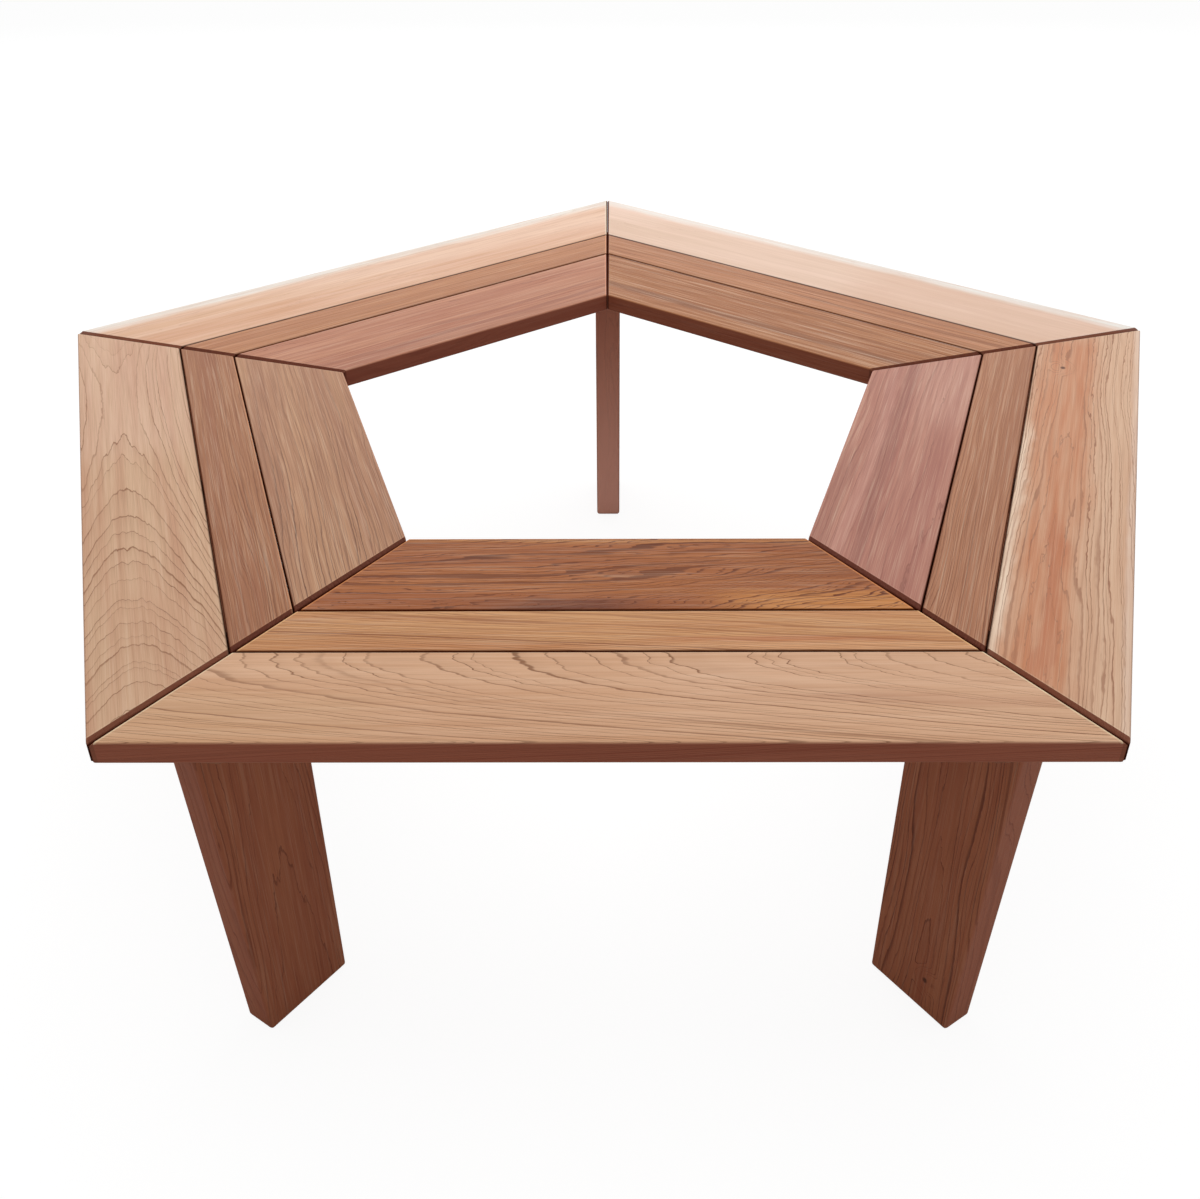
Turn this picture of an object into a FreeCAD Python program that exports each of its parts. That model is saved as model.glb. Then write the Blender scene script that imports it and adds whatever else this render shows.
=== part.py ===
import FreeCAD, Part
import math
import os
import re
import Sketcher

# A five-sided bench that rings a tree trunk. Each side of the ring is a section of three boards with mitred ends.
# Five board-like legs stand under the mitres, edge on to the trunk, and each is bolted between the end cleats of
# the two sections that meet over it. The origin is the tree's axis at the ground, +Z is up and -Y is the front.

# Sizes in millimetres. Every name has two words or more, which tells it from a function in an expression.
SIZES = {
    # Seat
    "corner_radius": 710,  # from the tree's axis to a corner of the seat
    "seat_height": 450,
    "board_thickness": 22,
    "wide_board_width": 120.5,  # inner and outer boards
    "narrow_board_width": 60.5,  # middle boards
    "board_gap": 1.0,
    "mitre_gap": 1.0,
    "board_arris": 2,
    # Legs
    "leg_thickness": 36,
    "leg_setback": 78,  # from a corner of the seat to the outer edge of the leg's top
    "leg_top_width": 127,
    "leg_foot_width": 107,
    "leg_arris": 2.5,
    # End cleats, which taper so that nobody sees them past the seat's edges
    "cleat_thickness": 32,
    "cleat_depth": 35,
    "cleat_nose_depth": 11,
    "cleat_inner_setback": 15,
    "cleat_inner_taper": 57,
    "cleat_outer_setback": 54,
    "cleat_outer_taper": 30,
    # Battens under the middle of each section
    "batten_width": 45,
    "batten_thickness": 18,
    "batten_inner_setback": 45,
    "batten_outer_setback": 28,
    # Coach bolts through cleat, leg and cleat
    "bolt_spacing": 55,
    "bolt_diameter": 8,
    "bolt_hole_clearance": 1,
    "bolt_head_diameter": 20.6,
    "bolt_head_height": 4.6,
    "bolt_shoulder_diameter": 17,
    "bolt_shoulder_height": 2.8,
    "bolt_crown_diameter": 8,
    "bolt_neck_depth": 5,
    "bolt_neck_clearance": 0.2,
    "bolt_tail": 3,  # thread past the nut
    "washer_diameter": 24,
    "washer_thickness": 2,
    "washer_bore_clearance": 0.4,
    "nut_width": 13,  # across the flats
    "nut_height": 6.5,
    "nut_bore_clearance": 0.1,
    # Screws driven up through cleats and battens into the boards
    "screw_edge_distance": 20,  # from the edge beside the middle board
    "screw_free_distance": 56,  # from the opening's edge and from the seat's outer edge
    "screw_diameter": 4.2,
    "screw_bite": 12,  # length of thread in a board
    "screw_head_diameter": 8.5,
    "screw_head_height": 3,
    "screw_hole_clearance": 0.6,
    "screw_pocket_clearance": 1,
    "pilot_hole_clearance": 0.2,
}

# The seat's corners, and the section from each corner to the next, counter-clockwise seen from above.
CORNERS = ("rear", "left", "front_left", "front_right", "right")
SECTIONS = ("rear_left", "left", "front", "right", "rear_right")
REAR_ANGLE = 90
CORNER_STEP = 360 / len(CORNERS)
MITRE_ANGLE = CORNER_STEP / 2

# The fasteners and their holes are many, so what is round on them is drawn with few sides.
BOLT_SIDES = 12
SCREW_SIDES = 6
NUT_SIDES = 6
BOLT_HEAD_SIDE = 1  # the counter-clockwise side of each leg

document = FreeCAD.newDocument("tree_bench")
sheet = document.addObject("Spreadsheet::Sheet", "Dimensions")
for row, (name, size) in enumerate(SIZES.items(), start=1):
    sheet.set(f"A{row}", name)
    sheet.set(f"B{row}", str(size))
    sheet.setAlias(f"B{row}", name)
document.recompute()
nodes = []
cuts = []


def bound(expression):
    """Point each size named in an expression at its cell."""
    return re.sub(r"\b[a-z]+(?:_[a-z]+)+\b", r"Dimensions.\g<0>", expression)


def value(expression):
    """Work an expression out with the sizes in the sheet."""
    return float(sheet.evalExpression(bound(expression)))


def tie(item, name, expression):
    """Tie a property of an item to an expression of sizes."""
    item.setExpression(name, bound(expression))


# Places that several pieces share, as expressions


def board_edges():
    """Give each board's inner and outer edge, measured from the tree's axis square to its section."""
    edges = {}
    outer = f"(corner_radius * cos({MITRE_ANGLE}))"
    widths = {"outer": "wide_board_width", "middle": "narrow_board_width", "inner": "wide_board_width"}
    for board, width in widths.items():
        inner = f"({outer} - {width})"
        edges[board] = (inner, outer)
        outer = f"({inner} - board_gap)"
    return edges


def along_section(distance, offset):
    """Give how far from a section's middle a line is that runs beside the mitre, at that offset inside it."""
    return f"({distance} * tan({MITRE_ANGLE}) - {offset} / cos({MITRE_ANGLE}))"


def along_mitre(distance, offset):
    """Give how far out along the mitre the same point of that line is."""
    return f"(({distance} - {offset} * sin({MITRE_ANGLE})) / cos({MITRE_ANGLE}))"


BOARD_EDGES = board_edges()
BOARD_MIDDLES = {board: f"(({inner} + {outer}) / 2)" for board, (inner, outer) in BOARD_EDGES.items()}
OPENING_EDGE = BOARD_EDGES["inner"][0]
SEAT_EDGE = BOARD_EDGES["outer"][1]
UNDERSIDE = "(seat_height - board_thickness)"

LEG_INNER_EDGE = "(corner_radius - leg_setback - leg_top_width)"
CLEAT_OFFSET = "((leg_thickness + cleat_thickness) / 2)"
HALF_STACK = "(leg_thickness / 2 + cleat_thickness)"
BOLT_DROP = "(cleat_depth / 2)"
BOLT_LEVEL = f"({UNDERSIDE} - {BOLT_DROP})"
FIRST_BOLT = f"({LEG_INNER_EDGE} + (leg_top_width - bolt_spacing) / 2)"
BOLTS = (FIRST_BOLT, f"({FIRST_BOLT} + bolt_spacing)")
CLEAT_SCREWS = {
    "outer": (f"({BOARD_EDGES['outer'][0]} + screw_edge_distance)", f"({SEAT_EDGE} - screw_free_distance)"),
    "middle": (BOARD_MIDDLES["middle"],),
    "inner": (f"({BOARD_EDGES['inner'][1]} - screw_edge_distance)", f"({OPENING_EDGE} + screw_free_distance)"),
}


# Sketching, where each place is a pair of expressions


def new_body(name, angle, sideways="0", height="0"):
    """Start a piece that is turned about the tree's axis, then moved sideways from that line and raised."""
    body = document.addObject("PartDesign::Body", name)
    body.Label = name
    body.Placement.Rotation = FreeCAD.Rotation(FreeCAD.Vector(0, 0, 1), angle)
    tie(body, "Placement.Base.x", f"-sin({angle}) * {sideways}")
    tie(body, "Placement.Base.y", f"cos({angle}) * {sideways}")
    tie(body, "Placement.Base.z", height)
    nodes.append(body)
    return body


def origin_item(body, role):
    """Find a plane or an axis of the body's own origin."""
    return next(item for item in body.Origin.OriginFeatures if item.Role == role)


def new_sketch(body, plane, lift="0", shift="0"):
    """Start a sketch on a plane of the body, lifted along its normal and shifted along its first axis."""
    sketch = body.newObject("Sketcher::SketchObject", f"{body.Name}_sketch")
    sketch.AttachmentSupport = [(origin_item(body, plane), "")]
    sketch.MapMode = "FlatFace"
    tie(sketch, "AttachmentOffset.Base.x", shift)
    tie(sketch, "AttachmentOffset.Base.z", lift)
    return sketch


def place(sketch, shape, point, x, y):
    """Tie a point of a line or circle to its place."""
    for axis, direction, expression in ((-2, "DistanceX", x), (-1, "DistanceY", y)):
        if expression == "0":
            sketch.addConstraint(Sketcher.Constraint("PointOnObject", shape, point, axis))
        else:
            distance = Sketcher.Constraint(direction, -1, 1, shape, point, value(expression))
            tie(sketch, f"Constraints[{sketch.addConstraint(distance)}]", expression)


def closed_lines(sketch, points):
    """Draw a ring of straight lines, each of which ends at the point of its number."""
    ends = [FreeCAD.Vector(x, y, 0) for x, y in points]
    lines = [sketch.addGeometry(Part.LineSegment(ends[i - 1], ends[i])) for i in range(len(ends))]
    for i in range(len(lines)):
        sketch.addConstraint(Sketcher.Constraint("Coincident", lines[i - 1], 2, lines[i], 1))
    return lines


def outline(sketch, corners):
    """Draw a closed outline through corners that are each tied to their place."""
    lines = closed_lines(sketch, [(value(x), value(y)) for x, y in corners])
    for line, (x, y) in zip(lines, corners):
        place(sketch, line, 2, x, y)


def circle(sketch, x, y, diameter):
    """Draw a circle about its centre."""
    centre = FreeCAD.Vector(value(x), value(y), 0)
    shape = sketch.addGeometry(Part.Circle(centre, FreeCAD.Vector(0, 0, 1), value(diameter) / 2))
    place(sketch, shape, 3, x, y)
    width = sketch.addConstraint(Sketcher.Constraint("Diameter", shape, value(diameter)))
    tie(sketch, f"Constraints[{width}]", diameter)
    return shape


def polygon(sketch, x, y, sides, diameter):
    """Draw a regular polygon inside a circle, with its first side square to the sketch's first axis."""
    rim = circle(sketch, x, y, diameter)
    sketch.toggleConstruction(rim)
    turns = [math.radians(180 / sides * (2 * i + 1)) for i in range(sides)]
    radius = value(diameter) / 2
    centre_x, centre_y = value(x), value(y)
    lines = closed_lines(
        sketch, [(centre_x + radius * math.cos(turn), centre_y + radius * math.sin(turn)) for turn in turns]
    )
    sketch.addConstraint([Sketcher.Constraint("PointOnObject", line, 2, rim) for line in lines])
    sketch.addConstraint([Sketcher.Constraint("Equal", lines[0], line) for line in lines[1:]])
    sketch.addConstraint(Sketcher.Constraint("Vertical", lines[0]))


def polygon_around(sketch, x, y, sides, diameter):
    """Draw a regular polygon round a circle, so that a round thing of that diameter fits whichever way it turns."""
    polygon(sketch, x, y, sides, f"{diameter} / cos({180 / sides})")


def square(sketch, x, y, width):
    """Draw a square about its centre."""
    low_x, high_x = f"{x} - {width} / 2", f"{x} + {width} / 2"
    low_y, high_y = f"{y} - {width} / 2", f"{y} + {width} / 2"
    outline(sketch, [(low_x, low_y), (high_x, low_y), (high_x, high_y), (low_x, high_y)])


# Solids


def pad(body, sketch, length, both_ways=False, backwards=False):
    """Raise a solid from a sketch."""
    feature = body.newObject("PartDesign::Pad", f"{body.Name}_pad")
    feature.Profile = sketch
    feature.SideType = "Symmetric" if both_ways else "One side"
    feature.Reversed = backwards
    tie(feature, "Length", length)
    return feature


def pocket(body, sketch, depth=None, both_ways=False, along_normal=False):
    """Cut a sketch out of the body, all the way through where it has no depth."""
    feature = body.newObject("PartDesign::Pocket", f"{body.Name}_pocket")
    feature.Profile = sketch
    feature.SideType = "Symmetric" if both_ways else "One side"
    feature.Reversed = along_normal
    if depth is None:
        feature.Type = "ThroughAll"
    else:
        tie(feature, "Length", depth)
    cuts.append(feature)


def bevel(body, solid, size, chosen):
    """Bevel the straight edges that a test chooses by the heights of their two ends."""
    document.recompute()
    edges = [
        f"Edge{number}"
        for number, edge in enumerate(solid.Shape.Edges, start=1)
        if chosen(*[round(vertex.Z, 6) for vertex in edge.Vertexes])
    ]
    feature = body.newObject("PartDesign::Chamfer", f"{body.Name}_chamfer")
    feature.Base = (solid, edges)
    tie(feature, "Size", size)
    return feature


def repeat(body, kind, originals=(), **settings):
    """Repeat some features of the body, or its whole shape so far where none are given."""
    document.recompute()
    feature = body.newObject(f"PartDesign::{kind}", f"{body.Name}_{kind}")
    if originals:
        feature.Originals = list(originals)
    else:
        feature.TransformMode = "Whole shape"
    for name, setting in settings.items():
        setattr(feature, name, setting)
    body.Tip = feature
    return feature


def round_the_tree(body):
    """Repeat the body's whole shape at each corner."""
    axis = (origin_item(body, "Z_Axis"), [""])
    repeat(body, "PolarPattern", Axis=axis, Angle=360, Occurrences=len(CORNERS))


# Seat boards


def seat_board(section, angle, board):
    """Make a board: a trapezium with mitred ends, bevelled on top, with blind pilot holes underneath."""
    body = new_body(f"{section}_{board}_board", angle, height=UNDERSIDE)
    inner, outer = BOARD_EDGES[board]
    half_inner = along_section(inner, "(mitre_gap / 2)")
    half_outer = along_section(outer, "(mitre_gap / 2)")
    sketch = new_sketch(body, "XY_Plane")
    outline(sketch, [
        (inner, f"-{half_inner}"),
        (outer, f"-{half_outer}"),
        (outer, half_outer),
        (inner, half_inner),
    ])
    solid = pad(body, sketch, "board_thickness")
    top = round(value("board_thickness"), 6)
    bevel(body, solid, "board_arris", lambda start, end: start == end == top)
    pilot = "(screw_diameter + pilot_hole_clearance)"
    holes = new_sketch(body, "XY_Plane")
    polygon_around(holes, BOARD_MIDDLES[board], "0", SCREW_SIDES, pilot)
    for distance in CLEAT_SCREWS[board]:
        reach = along_section(distance, CLEAT_OFFSET)
        for place_along in (reach, f"-{reach}"):
            polygon_around(holes, distance, place_along, SCREW_SIDES, pilot)
    pocket(body, holes, "screw_bite", along_normal=True)


# Legs, end cleats and battens


def bolt_holes(body, height):
    """Drill the holes for a leg's two bolts across the body."""
    holes = new_sketch(body, "XZ_Plane")
    for distance in BOLTS:
        polygon_around(holes, distance, height, BOLT_SIDES, "(bolt_diameter + bolt_hole_clearance)")
    pocket(body, holes, both_ways=True)


def leg(corner, angle):
    """Make a leg: a plank on edge, upright on the tree's side and sloping in towards the foot outside."""
    body = new_body(f"leg_{corner}", angle)
    sketch = new_sketch(body, "XZ_Plane")
    outline(sketch, [
        (LEG_INNER_EDGE, "0"),
        (f"{LEG_INNER_EDGE} + leg_foot_width", "0"),
        (f"{LEG_INNER_EDGE} + leg_top_width", UNDERSIDE),
        (LEG_INNER_EDGE, UNDERSIDE),
    ])
    solid = pad(body, sketch, "leg_thickness", both_ways=True)
    top = round(value(UNDERSIDE), 6)
    bevel(body, solid, "leg_arris", lambda start, end: not start == end == top)
    bolt_holes(body, BOLT_LEVEL)


def end_cleat(name, angle, side):
    """Make the cleat on one side of a leg: a block that tapers to a nose at both ends.

    Two holes cross it for the bolts, with square sockets on the side where the bolts' heads are. Stepped holes
    rise through it for the screws.
    """
    body = new_body(name, angle, sideways=f"{side} * {CLEAT_OFFSET}", height=UNDERSIDE)
    inner_end = f"({OPENING_EDGE} / cos({MITRE_ANGLE}) + cleat_inner_setback)"
    outer_end = "(corner_radius - cleat_outer_setback)"
    sketch = new_sketch(body, "XZ_Plane")
    outline(sketch, [
        (inner_end, "0"),
        (inner_end, "-cleat_nose_depth"),
        (f"{inner_end} + cleat_inner_taper", "-cleat_depth"),
        (f"{outer_end} - cleat_outer_taper", "-cleat_depth"),
        (outer_end, "-cleat_nose_depth"),
        (outer_end, "0"),
    ])
    pad(body, sketch, "cleat_thickness", both_ways=True)

    bolt_holes(body, f"-{BOLT_DROP}")
    if side == BOLT_HEAD_SIDE:
        sockets = new_sketch(body, "XZ_Plane", lift="-cleat_thickness / 2")
        for distance in BOLTS:
            square(sockets, distance, f"-{BOLT_DROP}", "(bolt_diameter + bolt_neck_clearance)")
        pocket(body, sockets, "bolt_neck_depth + bolt_neck_clearance", along_normal=True)

    screw_holes = new_sketch(body, "XY_Plane")
    head_pockets = new_sketch(body, "XY_Plane", lift="-batten_thickness")
    for distance in sum(CLEAT_SCREWS.values(), ()):
        out = along_mitre(distance, CLEAT_OFFSET)
        polygon_around(screw_holes, out, "0", SCREW_SIDES, "(screw_diameter + screw_hole_clearance)")
        polygon_around(head_pockets, out, "0", SCREW_SIDES, "(screw_head_diameter + screw_pocket_clearance)")
    pocket(body, screw_holes)
    pocket(body, head_pockets)


def centre_batten(section, angle):
    """Make the flat batten that holds the middles of a section's three boards level."""
    body = new_body(f"{section}_centre_batten", angle, height=UNDERSIDE)
    inner_end = f"{OPENING_EDGE} + batten_inner_setback"
    outer_end = f"{SEAT_EDGE} - batten_outer_setback"
    sketch = new_sketch(body, "XY_Plane")
    outline(sketch, [
        (inner_end, "-batten_width / 2"),
        (outer_end, "-batten_width / 2"),
        (outer_end, "batten_width / 2"),
        (inner_end, "batten_width / 2"),
    ])
    pad(body, sketch, "batten_thickness", backwards=True)
    holes = new_sketch(body, "XY_Plane")
    for distance in BOARD_MIDDLES.values():
        polygon_around(holes, distance, "0", SCREW_SIDES, "(screw_diameter + screw_hole_clearance)")
    pocket(body, holes)


# Fasteners, each kind one node of separate solids


def coach_bolts():
    """Make the coach bolts: a domed head, a square neck that the cleat holds, and a shank."""
    body = new_body("leg_bolts", REAR_ANGLE, height=BOLT_LEVEL)
    dome = {
        "bolt_head_diameter": "0",
        "bolt_shoulder_diameter": "bolt_shoulder_height",
        "bolt_crown_diameter": "bolt_head_height",
    }
    rings = []
    for diameter, rise in dome.items():
        rings.append(new_sketch(body, "XZ_Plane", lift=f"-({HALF_STACK} + {rise})"))
        polygon(rings[-1], FIRST_BOLT, "0", BOLT_SIDES, diameter)
    head = body.newObject("PartDesign::AdditiveLoft", "leg_bolts_head")
    head.Profile = rings[0]
    head.Sections = rings[1:]
    head.Ruled = True
    neck_outline = new_sketch(body, "XZ_Plane", lift=f"-{HALF_STACK}")
    square(neck_outline, FIRST_BOLT, "0", "bolt_diameter")
    neck = pad(body, neck_outline, "bolt_neck_depth")
    shank_outline = new_sketch(body, "XZ_Plane", lift=f"-{HALF_STACK}")
    polygon(shank_outline, FIRST_BOLT, "0", BOLT_SIDES, "bolt_diameter")
    shank = pad(body, shank_outline, f"2 * {HALF_STACK} + washer_thickness + nut_height + bolt_tail")
    beside_it(body, head, neck, shank)
    round_the_tree(body)


def beside_it(body, *features):
    """Repeat a bolt's features at the leg's second bolt."""
    row = repeat(body, "LinearPattern", features, Direction=(origin_item(body, "X_Axis"), [""]), Occurrences=2)
    row.Mode = "Spacing"
    tie(row, "Offset", "bolt_spacing")


def bolt_rings(name, sides, width, bore_clearance, lift, length):
    """Make the rings on the bolts' ends, one on each bolt: a polygon with a bore."""
    body = new_body(name, REAR_ANGLE, height=BOLT_LEVEL)
    sketch = new_sketch(body, "XZ_Plane", lift=lift)
    polygon_around(sketch, FIRST_BOLT, "0", sides, width)
    polygon_around(sketch, FIRST_BOLT, "0", BOLT_SIDES, f"(bolt_diameter + {bore_clearance})")
    ring = pad(body, sketch, length)
    beside_it(body, ring)
    round_the_tree(body)


def seat_screws():
    """Make the screws: heads under the cleats and battens, shanks through them into the boards."""
    body = new_body("seat_screws", REAR_ANGLE, height=UNDERSIDE)
    cleat_places = [(along_mitre(distance, CLEAT_OFFSET), CLEAT_OFFSET) for distance in sum(CLEAT_SCREWS.values(), ())]
    batten_places = [(f"{middle} * cos({MITRE_ANGLE})", f"{middle} * sin({MITRE_ANGLE})")
                     for middle in BOARD_MIDDLES.values()]
    screw_group(body, cleat_places)
    repeat(body, "Mirrored", MirrorPlane=(origin_item(body, "XZ_Plane"), [""]))
    screw_group(body, batten_places)
    round_the_tree(body)


def screw_group(body, places):
    """Add screws at some places, head down, with the heads' bearing faces a batten's thickness below the boards."""
    shanks = new_sketch(body, "XY_Plane", lift="-batten_thickness")
    heads = new_sketch(body, "XY_Plane", lift="-batten_thickness")
    for x, y in places:
        polygon(shanks, x, y, SCREW_SIDES, "screw_diameter")
        polygon(heads, x, y, SCREW_SIDES, "screw_head_diameter")
    pad(body, shanks, "batten_thickness + screw_bite")
    pad(body, heads, "screw_head_height", backwards=True)


for number, (corner, section) in enumerate(zip(CORNERS, SECTIONS)):
    corner_angle = REAR_ANGLE + CORNER_STEP * number
    section_angle = corner_angle + MITRE_ANGLE
    for board in BOARD_EDGES:
        seat_board(section, section_angle, board)
    centre_batten(section, section_angle)
    leg(corner, corner_angle)
    end_cleat(f"{section}_cleat_at_{corner}_leg", corner_angle, side=1)
    end_cleat(f"{SECTIONS[number - 1]}_cleat_at_{corner}_leg", corner_angle, side=-1)

coach_bolts()
bolt_rings(
    "leg_bolt_washers", BOLT_SIDES, "washer_diameter", "washer_bore_clearance", HALF_STACK, "washer_thickness"
)
bolt_rings(
    "leg_bolt_nuts", NUT_SIDES, "nut_width", "nut_bore_clearance", f"{HALF_STACK} + washer_thickness", "nut_height"
)
seat_screws()

document.recompute()
failed = [item.Name for item in document.Objects if {"Invalid", "Error"} & set(item.State)]
failed += [cut.Name for cut in cuts if cut.Shape.Volume >= cut.BaseFeature.Shape.Volume]
failed += [body.Label for body in nodes if body.Shape.isNull() or not body.Shape.isValid()]
if failed:
    raise RuntimeError(f"not built: {', '.join(failed)}")

os.makedirs("parts", exist_ok=True)
for body in nodes:
    body.Shape.exportStep(f"parts/{body.Label}.step")
    print(f"{body.Label}: {len(body.Shape.Solids)} solids, {body.Shape.Volume / 1000:.1f} cubic cm")
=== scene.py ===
"""A five-sided cedar bench that rings a tree: mitred seat boards on five plank legs, with its cleats and fasteners."""

import logging
import math
from dataclasses import dataclass, field, replace
from enum import Enum
from typing import Callable, Iterable, Optional, Union

import bpy
import numpy as np
from mathutils import Matrix


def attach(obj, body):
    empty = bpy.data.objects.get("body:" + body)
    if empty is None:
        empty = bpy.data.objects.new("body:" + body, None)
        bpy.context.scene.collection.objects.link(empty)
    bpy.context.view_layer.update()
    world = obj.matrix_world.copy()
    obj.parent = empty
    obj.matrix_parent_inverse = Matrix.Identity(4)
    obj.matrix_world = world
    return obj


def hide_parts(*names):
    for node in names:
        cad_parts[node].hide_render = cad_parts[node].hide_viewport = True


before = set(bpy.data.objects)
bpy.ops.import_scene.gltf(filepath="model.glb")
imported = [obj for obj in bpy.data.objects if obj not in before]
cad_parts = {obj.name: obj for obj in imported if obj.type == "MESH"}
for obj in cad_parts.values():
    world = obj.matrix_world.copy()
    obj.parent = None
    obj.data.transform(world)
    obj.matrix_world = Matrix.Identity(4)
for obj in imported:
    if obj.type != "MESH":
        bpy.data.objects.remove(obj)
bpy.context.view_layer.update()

MILLIMETRE = 0.001
BODY = "root"

Colour = tuple[int, int, int]
Number = Union[float, "Field"]
Vector = tuple[float, float, float]
Paint = Union[Colour, bpy.types.NodeSocket]
Feed = Union[Number, Vector, Paint]

log = logging.getLogger("tree_bench")


# Named places on the bench


class Place(Enum):
    """A named place round the tree, by its angle in degrees, counter-clockwise from the bench's right."""

    @property
    def label(self) -> str:
        """The name as the pieces use it."""
        return self.name.lower()

    @property
    def axes(self) -> np.ndarray:
        """Rows with the directions outward, counter-clockwise and up at this place."""
        turn = math.radians(self.value)
        return np.array([
            (math.cos(turn), math.sin(turn), 0.0),
            (-math.sin(turn), math.cos(turn), 0.0),
            (0.0, 0.0, 1.0),
        ])


class Section(Place):
    """The seat's sections, by their middles."""

    REAR_LEFT = 126
    LEFT = 198
    FRONT = 270
    RIGHT = 342
    REAR_RIGHT = 54


class Corner(Place):
    """The seat's corners, each over a leg."""

    REAR = 90
    LEFT = 162
    FRONT_LEFT = 234
    FRONT_RIGHT = 306
    RIGHT = 18


class Strip(Enum):
    """The three boards of a section, from the rim to the tree."""

    OUTER = "outer"
    MIDDLE = "middle"
    INNER = "inner"


class Slot(Enum):
    """The record's material slots."""

    BOARDS = "cedar_boards"
    LEGS = "cedar_legs"
    BATTENS = "cedar_battens"
    STEEL = "stainless_steel"


@dataclass(frozen=True)
class Plan:
    """The driving sizes of the bench, in metres, which every piece works its own sizes out from."""

    corner_radius: float = 0.710
    seat_height: float = 0.450
    board_thickness: float = 0.022
    wide_board: float = 0.1205
    narrow_board: float = 0.0605
    board_gap: float = 0.001
    mitre_gap: float = 0.001
    mitre_angle: float = math.pi / len(Section)

    @property
    def underside(self) -> float:
        """Height of the seat boards' underside."""
        return self.seat_height - self.board_thickness

    @property
    def rim(self) -> float:
        """Distance from the tree's axis to the middle of the seat's outer edge."""
        return self.corner_radius * math.cos(self.mitre_angle)

    def edges(self, strip: Strip) -> tuple[float, float]:
        """Find a board's two long edges.

        Args:
            strip: Which of the section's boards.

        Returns:
            The distances of its inner and outer edge from the tree's axis.
        """
        outer = (self.rim - self.wide_board, self.rim)
        if strip is Strip.OUTER:
            return outer
        middle = (outer[0] - self.board_gap - self.narrow_board, outer[0] - self.board_gap)
        if strip is Strip.MIDDLE:
            return middle
        return middle[0] - self.board_gap - self.wide_board, middle[0] - self.board_gap

    def half_length(self, distance: np.ndarray) -> np.ndarray:
        """Half the length of a section at a distance from the axis: it grows with the mitre, less half a mitre gap."""
        return distance * math.tan(self.mitre_angle) - self.mitre_gap / 2 / math.cos(self.mitre_angle)


# Shader arithmetic


def linear(colour: Colour) -> tuple[float, float, float, float]:
    """Turn a colour into the shader's linear one: the usual display curve, channel by channel.

    Args:
        colour: Its three channels, from 0 to 255.

    Returns:
        The linear colour, from 0 to 1, with its fourth part.
    """
    share = np.array(colour) / 255
    bent = np.where(share <= 0.04045, share / 12.92, ((share + 0.055) / 1.055) ** 2.4)
    return (*bent.tolist(), 1.0)


def feed(socket: bpy.types.NodeSocket, value: Feed) -> None:
    """Feed a node's input.

    Args:
        socket: The input.
        value: A field or an output to link it to, or what to write on it: a plain number or vector, a colour of
            0 to 255, or a linear colour with its fourth part.
    """
    if isinstance(value, Field):
        value = value.socket
    if isinstance(value, bpy.types.NodeSocket):
        socket.id_data.links.new(value, socket)
    else:
        socket.default_value = linear(value) if socket.type == "RGBA" and len(value) == 3 else value


@dataclass(frozen=True)
class Field:
    """A number that varies over a surface: the output of a shader node, which can stand in a sum."""

    socket: bpy.types.NodeSocket

    def _worked(self, operation: str, *others: Number) -> "Field":
        """Add a Math node.

        Args:
            operation: The node's operation.
            others: The operands after this one, numbers or fields.

        Returns:
            The node's result.
        """
        node = self.socket.id_data.nodes.new("ShaderNodeMath")
        node.operation = operation
        for socket, value in zip(node.inputs, (self, *others)):
            feed(socket, value)
        return Field(node.outputs[0])

    def __add__(self, other: Number) -> "Field":
        """The sum."""
        return self._worked("ADD", other)

    def __sub__(self, other: Number) -> "Field":
        """The difference."""
        return self._worked("SUBTRACT", other)

    def __mul__(self, other: Number) -> "Field":
        """The product."""
        return self._worked("MULTIPLY", other)

    def __truediv__(self, other: Number) -> "Field":
        """The quotient."""
        return self._worked("DIVIDE", other)

    __radd__ = __add__
    __rmul__ = __mul__

    def __rsub__(self, other: float) -> "Field":
        """The difference from a plain number."""
        return self * -1.0 + other

    def distance_from(self, other: Number) -> "Field":
        """The size of the difference."""
        return (self - other)._worked("ABSOLUTE")

    def root(self) -> "Field":
        """The square root."""
        return self._worked("SQRT")

    def fraction(self) -> "Field":
        """The part after the decimal point."""
        return self._worked("FRACT")

    def whole(self) -> "Field":
        """The number rounded down."""
        return self._worked("FLOOR")

    def clamped(self) -> "Field":
        """The result of a sum held between 0 and 1, by its own node's clamp."""
        self.socket.node.use_clamp = True
        return self

    def at_least(self, low: Number) -> "Field":
        """The larger of two numbers."""
        return self._worked("MAXIMUM", low)

    def at_most(self, high: Number) -> "Field":
        """The smaller of two numbers."""
        return self._worked("MINIMUM", high)

    def step(self, start: float, end: float) -> "Field":
        """Rise smoothly from 0 to 1.

        Args:
            start: Where the rise begins.
            end: Where it ends; below start, the step falls instead.

        Returns:
            0 before start, 1 past end and an S curve between them.
        """
        node = self.socket.id_data.nodes.new("ShaderNodeMapRange")
        node.interpolation_type = "SMOOTHSTEP"
        feeds = {"Value": self, "From Min": min(start, end), "From Max": max(start, end),
                 "To Min": float(start > end), "To Max": float(start < end)}
        for name, value in feeds.items():
            feed(node.inputs[name], value)
        return Field(node.outputs["Result"])


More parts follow.
